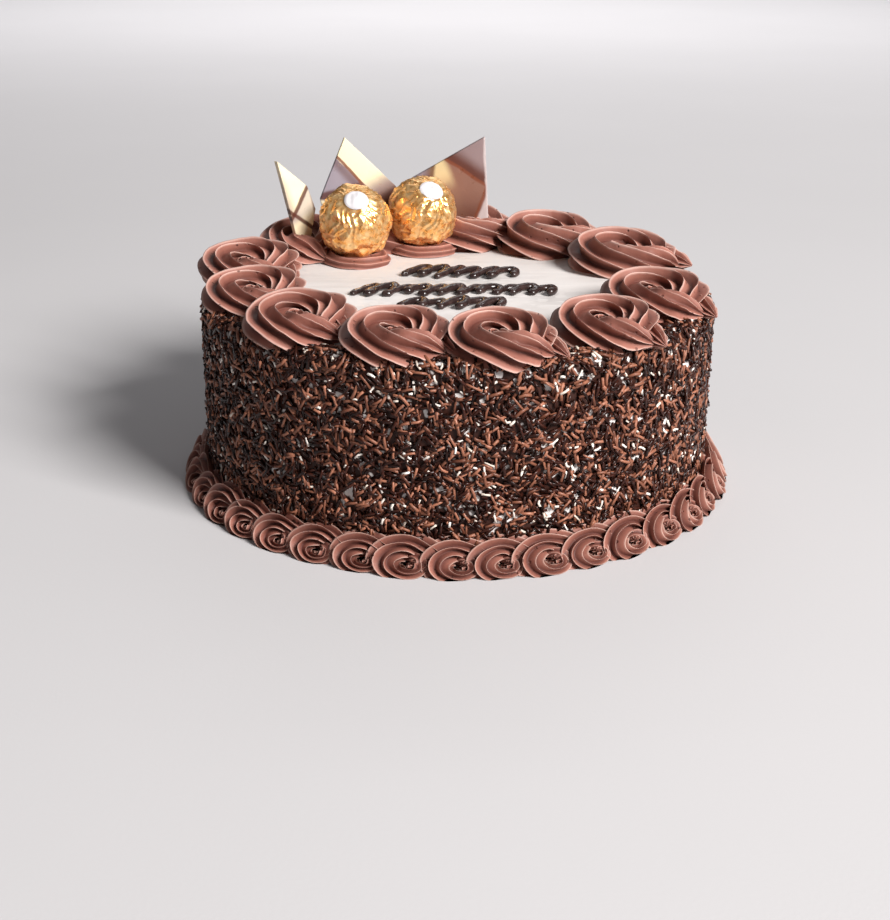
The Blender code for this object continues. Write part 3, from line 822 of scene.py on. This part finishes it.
shellSpec = {
    "count": 39,
    "ring": 0.1032,
    "height": 0.0068,
    "facing": 34.0,
    "eye": (0.0052, -0.0058),
    "stretch": (1.26, 0.82),
    "steps": 44,
    "teeth": 9,
    "valley": 0.48,
    "squash": (1.0, 1.0),
    # the same columns as a swirl's course
    "course": (
        (14, 10.4, 1.4, -2.6, -50, 0.5),
        (30, 9.8, 3.6, -1.8, -42, 0.5),
        (56, 8.8, 4.8, -0.6, -30, 0.5),
        (90, 8.6, 5.6, 0.4, -10, 0.46),
        (135, 7.6, 5.6, 1.2, 14, 0.40),
        (180, 6.6, 5.0, 1.5, 34, 0.36),
        (225, 4.8, 4.2, 1.6, 60, 0.44),
        (265, 3.3, 3.6, 1.8, 86, 0.50),
        (305, 2.4, 3.2, 2.0, 104, 0.50),
        (345, 1.7, 2.8, 2.4, 118, 0.50),
        (385, 1.4, 2.4, 2.4, 130, 0.50),
        (415, 0.8, 1.4, 2.8, 138, 0.50),
    ),
    # cream that closes the middle of the curl
    "plug": (
        (-70, 1.4, 1.2, -0.6, 0, 0.5),
        (-20, 2.2, 3.4, -0.2, 20, 0.5),
        (60, 3.2, 3.6, 0.0, 40, 0.5),
        (110, 2.6, 1.4, -0.6, 60, 0.5),
    ),
    "plugSteps": 14,
    "plugValley": 0.86,
    # how far each shell's place, size, roll and skew are left to chance
    "stray": 0.07,
    "sizes": (0.98, 1.10),
    "rolls": (4, 18),
    "skew": 10,
    "seed": 4,
    "wobble": 0.0003,
    # no filled grooves and nothing torn
    "fillFrom": 500,
    "fill": 0.0,
    "torn": 0.0,
    "tornFrom": 500,
}
# the border's cream is a shade darker
borderSpec = dict(
    creamSpec,
    # its groove colour is painted shade and its lip colour a painted highlight, as on the swirls
    grooveShade=(0.090, 0.027, 0.020),
    face=(0.258, 0.100, 0.073),
    lipHighlight=(0.480, 0.290, 0.240),
)


def makeBorder(material):
    spec = shellSpec
    rng = random.Random(spec["seed"])
    plug = dict(spec, valley=spec["plugValley"])
    facing = math.radians(spec["facing"])
    up = np.array([0.0, 0.0, 1.0])
    parts = []
    for k in range(spec["count"]):
        a = 2 * math.pi * (k + rng.uniform(-spec["stray"], spec["stray"])) / spec["count"]
        size, roll = rng.uniform(*spec["sizes"]), rng.uniform(*spec["rolls"])
        skew = rng.uniform(-spec["skew"], spec["skew"])
        points, faceSets, shares = joined([
            sweepCourse(spec, spec["course"], spec["steps"], size, roll, 1.0, skew),
            sweepCourse(plug, spec["plug"], spec["plugSteps"], size, roll, 1.0, skew),
        ])
        points[:, :2] = points[:, :2] * spec["stretch"] + spec["eye"]
        out = np.array([math.cos(a), math.sin(a), 0.0])
        east = np.array([-math.sin(a), math.cos(a), 0.0])
        front = out * math.cos(facing) + up * math.sin(facing)
        rise = up * math.cos(facing) - out * math.sin(facing)
        turned = points[:, :1] * east + points[:, 1:2] * rise + points[:, 2:] * front
        parts.append((turned + out * spec["ring"] + up * spec["height"], faceSets, shares))
    points, faceSets, shares = joined(parts)
    points = points + ripples(points, 0.007, spec["wobble"], 90)
    points[:, 2] = np.maximum(points[:, 2], 0.0)
    piece = meshObject("shellBorder", points, faceSets, material)
    # the shares paint a highlight on the crest lips and shade in the grooves
    addShare(piece, "crestLightGrooveShade", shares)
    return place(piece, "chocolate_buttercream", "shell_border")


makeBorder(makeCream("borderButtercream", borderSpec))
print("border ready")


# Cream pressed out under the wrapped balls

ballSpec = {
    "radius": 0.0160,
    "height": 0.0937,
    "sunk": 0.00035,
    "facets": ((36, 1.10), (140, 0.42), (420, 0.08)),  # how many, and height in mm
    "gathers": 11,
    "gather": 0.00050,
    "fold": 0.0006,
    "foldWaver": 0.0010,
}
balls = {"foil_ball_left": (-0.0440, 0.0455, 31), "foil_ball_right": (-0.0153, 0.0658, 47)}
pressedSpec = {
    "blade": 0.9,
    "wobble": 0.0009,
    "collarWobble": 0.0006,
    "sunk": 0.0004,
    "collar": 0.0098,
    "collarStrand": 0.0050,
    "collarRise": 0.0016,
    "collarSquash": (1.12, 0.72),
    "collarValley": 0.88,
    "collarSteps": 90,
    "gap": 0.0003,
}


def makePressed(name, eyeAngle, ring, size, tail, lift, valley, highest, seed, ball, material):
    spec = dict(rosetteSpec, valley=valley, blade=pressedSpec["blade"])
    outer = sweepCourse(spec, spec["outer"], spec["steps"], size, tail, lift, 0.0)
    points = outer[0] + ripples(outer[0], 0.010, pressedSpec["wobble"], seed)
    parts = [(settle(points, spec, eyeAngle, ring), outer[1], outer[2])]
    # a collar squeezed out round the ball
    x, y, _ = balls[ball]
    steps = pressedSpec["collarSteps"]
    turn = np.radians(np.linspace(-260, 100, steps))
    reach = pressedSpec["collar"] + 0.0005 * np.sin(turn * 2 + seed)
    level = np.full(steps, spec["top"] + pressedSpec["collarRise"])
    path = np.stack([x + reach * np.cos(turn), y + reach * np.sin(turn), level], axis=1)
    ends = np.clip(np.minimum(np.arange(steps), np.arange(steps)[::-1]) / 12, 0.1, 1)
    spec = dict(spec, squash=pressedSpec["collarSquash"], valley=pressedSpec["collarValley"])
    twist = np.radians(np.linspace(0, 60, steps))
    none = np.zeros(steps)
    collar = sweepStar(path, pressedSpec["collarStrand"] * ends, twist, none + 0.45, none, spec)
    points = collar[0] + ripples(collar[0], 0.008, pressedSpec["collarWobble"], seed + 7)
    parts.append((points, collar[1], collar[2]))
    points, faceSets, shares = joined(parts)
    lowest = spec["top"] - pressedSpec["sunk"]
    points[:, 2] = np.clip(points[:, 2], lowest, highest)
    # nothing inside a ball
    for bx, by, _ in balls.values():
        centre = np.array([bx, by, ballSpec["height"]])
        away = points - centre
        distance = np.linalg.norm(away, axis=1)
        closest = ballSpec["radius"] + pressedSpec["gap"]
        inside = distance < closest
        points[inside] = centre + away[inside] / distance[inside][:, None] * closest
    points[:, 2] = np.maximum(points[:, 2], lowest)
    piece = meshObject(name, points, faceSets, material)
    # the painted crest highlight and groove shade, a little weaker on the pressed cream
    addShare(piece, "crestLightGrooveShade", shares * 0.8)
    return place(piece, "chocolate_buttercream", name)


for (name, row), ball in zip(pressed.items(), ("foil_ball_right", "foil_ball_left")):
    makePressed(name, *row, ball, cream)
print("pressed cream ready")


# Foil wrapped balls

foilSpec = {
    "color": (0.98, 0.67, 0.33),
    "shade": (0.88, 0.40, 0.10),
    "roughness": (0.22, 0.38),
    "metallic": 0.80,
}


def makeFoil(spec):
    material, tree, shader = newMaterial("goldFoil", 0.3, 0.15, spec["metallic"])
    fine = grained(tree, 420.0, 6.0)
    broad = grained(tree, 150.0, 2.0)
    color = mixed(tree, mapped(tree, fine, 0.35, 0.65, 0.0, 1.0), spec["shade"], spec["color"])
    wire(tree, (color, shader["Base Color"]))
    roughen(tree, shader, fine, *spec["roughness"])
    normal = addBump(tree, fine, 0.0003, 0.3)
    relief(tree, shader, broad, 0.0010, 0.35, normal)
    return material


def facetRise(points, count, rng):
    # crumpled foil: tilted flat cells that meet in creases
    seeds = unit(rng.normal(size=(count, 3)))
    tilts = rng.normal(size=(count, 3))
    close = points @ seeds.T
    order = np.argpartition(-close, 1, axis=1)[:, :2]
    first = np.take_along_axis(close, order, axis=1)
    nearest = np.where(first[:, 0] >= first[:, 1], order[:, 0], order[:, 1])
    gap = np.abs(np.arccos(np.clip(first[:, 0], -1, 1)) - np.arccos(np.clip(first[:, 1], -1, 1)))
    width = math.sqrt(4 * math.pi / count)
    slope = np.sum((points - seeds[nearest]) * tilts[nearest], axis=1) / width
    edge = np.clip(gap / width / 0.35, 0, 1)
    return slope * 0.8 * edge - (1 - edge) * 0.35


def makeBall(name, x, y, seed, material):
    spec = ballSpec
    bm = bmesh.new()
    bmesh.ops.create_icosphere(bm, subdivisions=7, radius=1.0)
    mesh = bpy.data.meshes.new(name)
    bm.to_mesh(mesh)
    bm.free()
    points = np.empty(len(mesh.vertices) * 3)
    mesh.vertices.foreach_get("co", points)
    points = unit(points.reshape(-1, 3))
    rng = np.random.default_rng(seed)
    warped = unit(points + ripples(points, 0.5, 0.10, seed))
    # gathers run away from the label, which sits at the top front
    leaning = Euler([math.radians(v) for v in labels[labelOf[name]][1:]]).to_matrix()
    axis = np.array(leaning @ Vector((0, 0, 1)))
    first = np.cross(axis, (1.0, 0.0, 0.0))
    first /= np.linalg.norm(first)
    second = np.cross(axis, first)
    polar = np.arccos(np.clip(points @ axis, -1, 1))
    azimuth = np.arctan2(points @ second, points @ first) + ripple(points, 0.45, 0.35, seed + 4)
    waves = azimuth * spec["gathers"] + 3 * ripple(points, 0.35, 1.0, seed + 2)
    gather = 1 - np.abs(np.sin(waves)) ** 0.7
    gather = gather * np.clip((polar - 0.38) / 0.3, 0, 1) * np.clip((2.1 - polar) / 0.8, 0, 1)
    rise = spec["gather"] * gather
    for count, amount in spec["facets"]:
        rise = rise + facetRise(warped, count, rng) * amount * 0.001
    # a thick fold low at the front
    low = np.clip((-points[:, 2] - 0.25) / 0.3, 0, 1) * np.clip((-points[:, 1] + 0.2) / 0.6, 0, 1)
    rise = rise + low * (spec["fold"] + ripple(points, 0.20, spec["foldWaver"], seed + 11))
    # smooth under the label
    calm = np.clip((polar - 0.30) / 0.10, 0.12, 1)
    points = points * (spec["radius"] - spec["sunk"] + rise * calm)[:, None]
    mesh.vertices.foreach_set("co", points.ravel())
    mesh.update()
    mesh.shade_smooth()
    piece = addPiece(name, mesh, material)
    piece.location = (x, y, spec["height"])
    return place(piece, "gold_foil", name)


# each label's ball, and its turns about X, Y and Z in degrees
labels = {"sticker_left": ("foil_ball_left", 42, 7, 0), "sticker_right": ("foil_ball_right", 37, 20, 0)}
labelOf = {row[0]: name for name, row in labels.items()}
foil = makeFoil(foilSpec)
for name, (x, y, seed) in balls.items():
    makeBall(name, x, y, seed, foil)
print("balls ready")


# Labels on the balls

labelSpec = {
    "halfLength": 0.0053,
    "halfWidth": 0.0047,
    "rise": 0.00030,
    "around": 64,
    "across": 14,
    "wrinkle": 0.00034,
    "rim": 0.0004,
    "color": (0.62, 0.60, 0.62),
}


def makePaper(spec):
    material, tree, shader = newMaterial("labelPaper", 0.55, 0.2)
    paint(tree, shader, spec["color"], 260.0, 0.05)
    fibre = grained(tree, 520.0, 5.0)
    relief(tree, shader, fibre, 0.0003, 0.5)
    return material


def makeLabel(name, ball, leanX, leanY, leanZ, material):
    spec = labelSpec
    turn = np.array(Euler([math.radians(v) for v in (leanX, leanY, leanZ)]).to_matrix())
    x, y, seed = balls[ball]
    share, around = np.meshgrid(
        np.linspace(0.02, 1, spec["across"]),
        np.linspace(0, 2 * np.pi, spec["around"], endpoint=False),
        indexing="ij",
    )
    u = (spec["halfLength"] * share * np.cos(around)).ravel()
    v = (spec["halfWidth"] * share * np.sin(around)).ravel()
    radius = ballSpec["radius"] + spec["rise"]
    flat = np.stack([u, v, np.sqrt(radius**2 - u**2 - v**2)], axis=1)
    # the rim lies down on the foil
    flat[:, 2] += ripple(flat, 0.0016, spec["wrinkle"], seed)
    flat[:, 2] -= spec["rim"] * np.clip(share.ravel() - 0.9, 0, 1) / 0.1
    points = flat @ turn.T + np.array([x, y, ballSpec["height"]])
    faces = gridFaces(spec["across"], spec["around"])
    piece = meshObject(name, points, [faces, np.arange(spec["around"])[None, :]], material)
    return place(piece, "sticker_paper", name)


paper = makePaper(labelSpec)
for name, (ball, leanX, leanY, leanZ) in labels.items():
    makeLabel(name, ball, leanX, leanY, leanZ, paper)
print("labels ready")


# Marbled chocolate shards

shardSpec = {"thickness": 0.0024, "bevel": 0.0004, "dent": 0.00012}
marbleColors = {
    "ivory": (0.900, 0.780, 0.520),
    "yellow": (0.640, 0.510, 0.280),
    "milky": (0.300, 0.260, 0.300),
    "grey": (0.250, 0.175, 0.175),
    "milk": (0.220, 0.106, 0.075),
    "dark": (0.085, 0.022, 0.014),
    "red": (0.170, 0.042, 0.016),
    "pale": (0.560, 0.480, 0.470),
}
# outline in mm, foot, turn, ground colour, then streaks:
# kind, colour, place in mm, facing, width in mm, softness in mm, share
shards = {
    "shard_left": (
        ((0.5, -1.0), (6.0, 4.0), (9.2, 17.5), (5.0, 28.0), (-10.5, 40.5)),
        (-0.0693, 0.0500, 0.0795),
        42.0,
        "ivory",
        (
            ("Beyond", "milky", (5.0, 28.0), (0.833, -0.553), 0.0, 0.6, 0.55),
            ("Beyond", "grey", (-1.6, 19.0), (-0.9, -0.43), 0.0, 2.4, 0.6),
            ("Beyond", "ivory", (-1.0, 13.0), (0.35, -0.94), 0.0, 2.2, 0.8),
            ("Line", "dark", (5.0, 28.0), (0.833, -0.553), 0.55, 0.9, 0.9),
            ("Line", "dark", (-2.5, 16.7), (-0.6, -0.8), 0.45, 0.8, 0.9),
            ("Beyond", "dark", (8.2, 17.0), (0.97, 0.24), 0.0, 0.9, 0.8),
        ),
    ),
    "shard_middle": (
        ((4.0, 0.0), (27.0, 0.0), (34.5, 22.5), (11.5, 45.0), (0.0, 18.0)),
        (-0.0612, 0.0720, 0.0800),
        12.4,
        "milky",
        (
            ("Line", "dark", (6.6, 34.4), (-0.725, -0.69), 0.2, 3.4, 0.55),
            ("Line", "dark", (6.0, 20.2), (-0.23, 0.97), 0.9, 1.6, 0.85),
            ("Beyond", "ivory", (2.6, 17.4), (-0.2, -0.98), 0.0, 0.8, 0.9),
            ("Beyond", "ivory", (8.1, 36.1), (0.725, 0.69), 0.0, 0.5, 1.0),
            ("Line", "red", (8.1, 36.1), (-0.725, -0.69), 0.35, 0.6, 0.9),
            ("Beyond", "grey", (27.0, 26.5), (0.45, -0.89), 0.0, 4.2, 0.9),
            ("Beyond", "dark", (28.0, 21.0), (0.45, -0.89), 0.0, 3.2, 0.85),
        ),
    ),
    "shard_right": (
        ((22.5, 0.0), (31.0, 3.0), (34.5, 8.0), (32.5, 44.5), (-0.5, 25.8)),
        (-0.0200, 0.0822, 0.0798),
        1.0,
        "milk",
        (
            ("Line", "yellow", (13.4, 25.0), (0.93, 0.37), 2.6, 4.0, 0.9),
            ("Beyond", "milk", (14.0, 24.0), (0.3, -0.95), 0.0, 5.0, 0.95),
            ("Beyond", "dark", (9.6, 28.0), (-0.97, 0.1), 0.0, 0.9, 0.85),
            ("Beyond", "milky", (6.2, 26.0), (-0.97, 0.1), 0.0, 2.2, 0.7),
            ("Beyond", "dark", (21.0, 13.0), (0.1, -0.99), 0.0, 9.0, 0.75),
            ("Beyond", "dark", (16.0, 34.6), (0.557, 0.83), 0.0, 0.5, 0.9),
            ("Beyond", "grey", (19.5, 38.0), (0.557, 0.83), 0.0, 3.2, 0.95),
            ("Line", "red", (15.7, 34.4), (0.557, 0.83), 0.3, 0.9, 0.85),
            ("Beyond", "pale", (32.0, 15.5), (0.955, -0.3), 0.0, 1.2, 0.8),
            ("Line", "red", (31.0, 14.6), (0.955, -0.3), 0.3, 0.9, 0.8),
            ("Beyond", "pale", (33.0, 20.0), (1.0, 0.05), 0.0, 0.5, 0.8),
        ),
    ),
}


def makeMarble(name, ground, streaks):
    material, tree, shader = newMaterial(name, 0.34, 0.5)
    color = addGroup(tree, "toneShift", Color=marbleColors[ground], Scale=90.0, Amount=0.06)["Color"]
    for kind, tint, (a, u), (fa, fu), width, soft, share in streaks:
        band = addGroup(
            tree, "marbleBand", Place=(a * 0.001, 0.0, u * 0.001), Facing=(fa, 0.0, fu),
            Width=width * 0.001, Soft=soft * 0.001, Waver=0.0022,
        )[kind]
        color = mixed(tree, sums(tree, "MULTIPLY", band, share), color, marbleColors[tint])
    wire(tree, (color, shader["Base Color"]))
    haze = grained(tree, 240.0, 5.0)
    roughen(tree, shader, haze, 0.26, 0.46)
    relief(tree, shader, haze, 0.0003, 0.35)
    return material


def makeShard(name, outline, foot, turn, ground, streaks):
    spec = shardSpec
    half = spec["thickness"] / 2
    bm = bmesh.new()
    face = bm.faces.new([bm.verts.new((a * 0.001, -half, u * 0.001)) for a, u in outline])
    grown = bmesh.ops.extrude_face_region(bm, geom=[face])
    back = [v for v in grown["geom"] if isinstance(v, bmesh.types.BMVert)]
    bmesh.ops.translate(bm, vec=(0, spec["thickness"], 0), verts=back)
    bmesh.ops.recalc_face_normals(bm, faces=bm.faces)
    bmesh.ops.bevel(bm, geom=list(bm.edges), offset=spec["bevel"], segments=3, profile=0.6, affect="EDGES")
    bmesh.ops.triangulate(bm, faces=bm.faces)
    bmesh.ops.subdivide_edges(bm, edges=bm.edges, cuts=3, use_grid_fill=True)
    for vertex in bm.verts:
        # the cut faces are not quite flat
        bulge = noise.noise(vertex.co * 260 + Vector((len(name), 0, 0)))
        vertex.co += Vector((bulge * 0.6, bulge, bulge * 0.4)) * spec["dent"]
    mesh = bpy.data.meshes.new(name)
    bm.to_mesh(mesh)
    bm.free()
    mesh.shade_smooth()
    mesh.set_sharp_from_angle(angle=math.radians(30.0))
    marble = makeMarble("marbled" + name.title().replace("_", ""), ground, streaks)
    piece = addPiece(name, mesh, marble)
    piece.location = foot
    piece.rotation_euler = (0, 0, math.radians(turn))
    return place(piece, "marbled_chocolate", name)


for name, (outline, foot, turn, ground, streaks) in shards.items():
    makeShard(name, outline, foot, turn, ground, streaks)
print("shards ready")


# Dark piping on the top: three rows of uneven waves

pipingSpec = {
    "radius": 0.00172,
    "squash": 0.85,
    "lean": 0.50,
    "sides": 16,
    "perWave": 30,
    "sizes": (0.50, 1.06),
    "loops": (0.6, 2.3),
    "shift": 0.0012,
    "crossing": 0.0004,
    "grain": 0.00012,
    "top": 0.076,
    "color": (0.024, 0.013, 0.012),
    "streak": (0.055, 0.030, 0.026),
}
# left end, right end, waves, half height, seed
pipedRows = {
    "piped_row_back": ((-0.0200, 0.0240), (0.0245, 0.0240), 6, 0.0068, 11),
    "piped_row_middle": ((-0.0400, -0.0060), (0.0385, -0.0045), 11, 0.0060, 23),
    "piped_row_front": ((-0.0205, -0.0262), (0.0180, -0.0258), 5, 0.0054, 37),
}


def makePipingChocolate(spec):
    material, tree, shader = newMaterial("darkPiping", 0.2, 0.5)
    streaks = grained(tree, 320.0, 3.0)
    color = mixed(tree, mapped(tree, streaks, 0.45, 0.75, 0.0, 1.0), spec["color"], spec["streak"])
    paint(tree, shader, color, 150.0, 0.2)
    roughen(tree, shader, streaks, 0.14, 0.34)
    relief(tree, shader, streaks, 0.0004, 0.5)
    return material


def makeRow(name, left, right, waves, half, seed, material):
    spec = pipingSpec
    rng = random.Random(seed)
    steps = np.arange(waves * spec["perWave"] + 1) / spec["perWave"]
    knots = np.arange(waves + 2)
    ranges = (spec["sizes"], spec["loops"], (-spec["shift"], spec["shift"]))
    amount, loop, shift = (
        np.interp(steps, knots, [rng.uniform(*limits) for _ in knots]) for limits in ranges
    )
    span = np.array(right) - np.array(left)
    pitch = np.linalg.norm(span) / waves
    along = span / np.linalg.norm(span)
    across = np.array([-along[1], along[0]])
    turn = 2 * np.pi * steps
    rise = -half * amount * np.cos(turn) + shift
    run = pitch * (steps - loop * np.sin(turn) / (2 * np.pi)) + spec["lean"] * rise
    flat = np.array(left) + run[:, None] * along + rise[:, None] * across
    crossing = spec["crossing"] * np.sin(turn * 0.5 + seed)
    path = np.column_stack([flat, spec["top"] + spec["radius"] * 0.72 + crossing])
    ends = np.minimum(np.arange(len(steps)), np.arange(len(steps))[::-1])
    swell = 1.0 + ripple(path, 0.0035, 0.20, seed)
    reach = (spec["radius"] * swell * np.sqrt(np.clip(ends / 3.0, 0.02, 1)))[:, None]
    _, side = pathAxes(path)
    angles = np.linspace(0, 2 * np.pi, spec["sides"], endpoint=False)
    points = path[:, None, :] + side[:, None, :] * (reach * np.sin(angles))[:, :, None]
    points = points + np.array([0, 0, spec["squash"]]) * (reach * np.cos(angles))[:, :, None]
    points = points.reshape(-1, 3)
    points = points + ripples(points, 0.0014, spec["grain"], seed)
    points[:, 2] = np.maximum(points[:, 2], spec["top"] - 0.0005)
    size = (len(steps), spec["sides"])
    piece = meshObject(name, points, [gridFaces(*size)] + endCaps(*size), material)
    return place(piece, "dark_piping", name)


piping = makePipingChocolate(pipingSpec)
for name, (left, right, waves, half, seed) in pipedRows.items():
    makeRow(name, left, right, waves, half, seed, piping)
print("piping ready")
